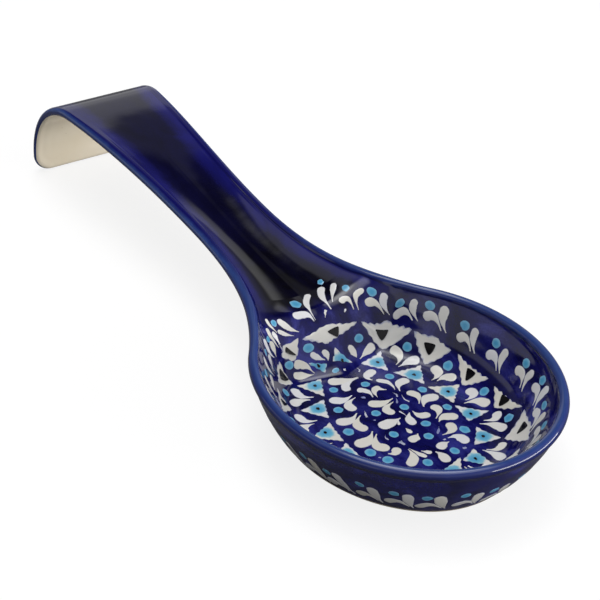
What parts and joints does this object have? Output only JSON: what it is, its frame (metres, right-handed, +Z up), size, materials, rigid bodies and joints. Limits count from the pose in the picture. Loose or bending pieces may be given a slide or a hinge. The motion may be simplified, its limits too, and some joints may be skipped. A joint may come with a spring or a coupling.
{
  "type": "spoon rest",
  "caption": "Long spoon rest: an oval glazed stoneware dish with a broad trough handle that arches over and ends in a lip on the table.",
  "frame": {"origin": "on the table plane, under the middle of the oval dish, at the centre of the flat foot", "axes": "+X out over the dish's far rim, with the handle along -X; +Z up; the part is symmetric about the XZ plane"},
  "size_m": [0.334, 0.1078, 0.044],
  "materials": {
    "clay": "bare fired stoneware, matte",
    "painted_glaze": "cobalt, cream, turquoise and black underglaze under clear gloss",
    "cobalt_glaze": "very dark cobalt, high gloss",
    "blue_band_glaze": "mid-blue brushed band, gloss",
    "cream_glaze": "clear gloss over the cream body"
  },
  "bodies": {
    "root": {"dish": "clay", "handle": "clay", "dish_lining": "painted_glaze", "handle_coat": "cobalt_glaze", "rim_band": "blue_band_glaze", "outside_coat": "painted_glaze", "underside_coat": "cream_glaze"}
  },
  "joints": []
}
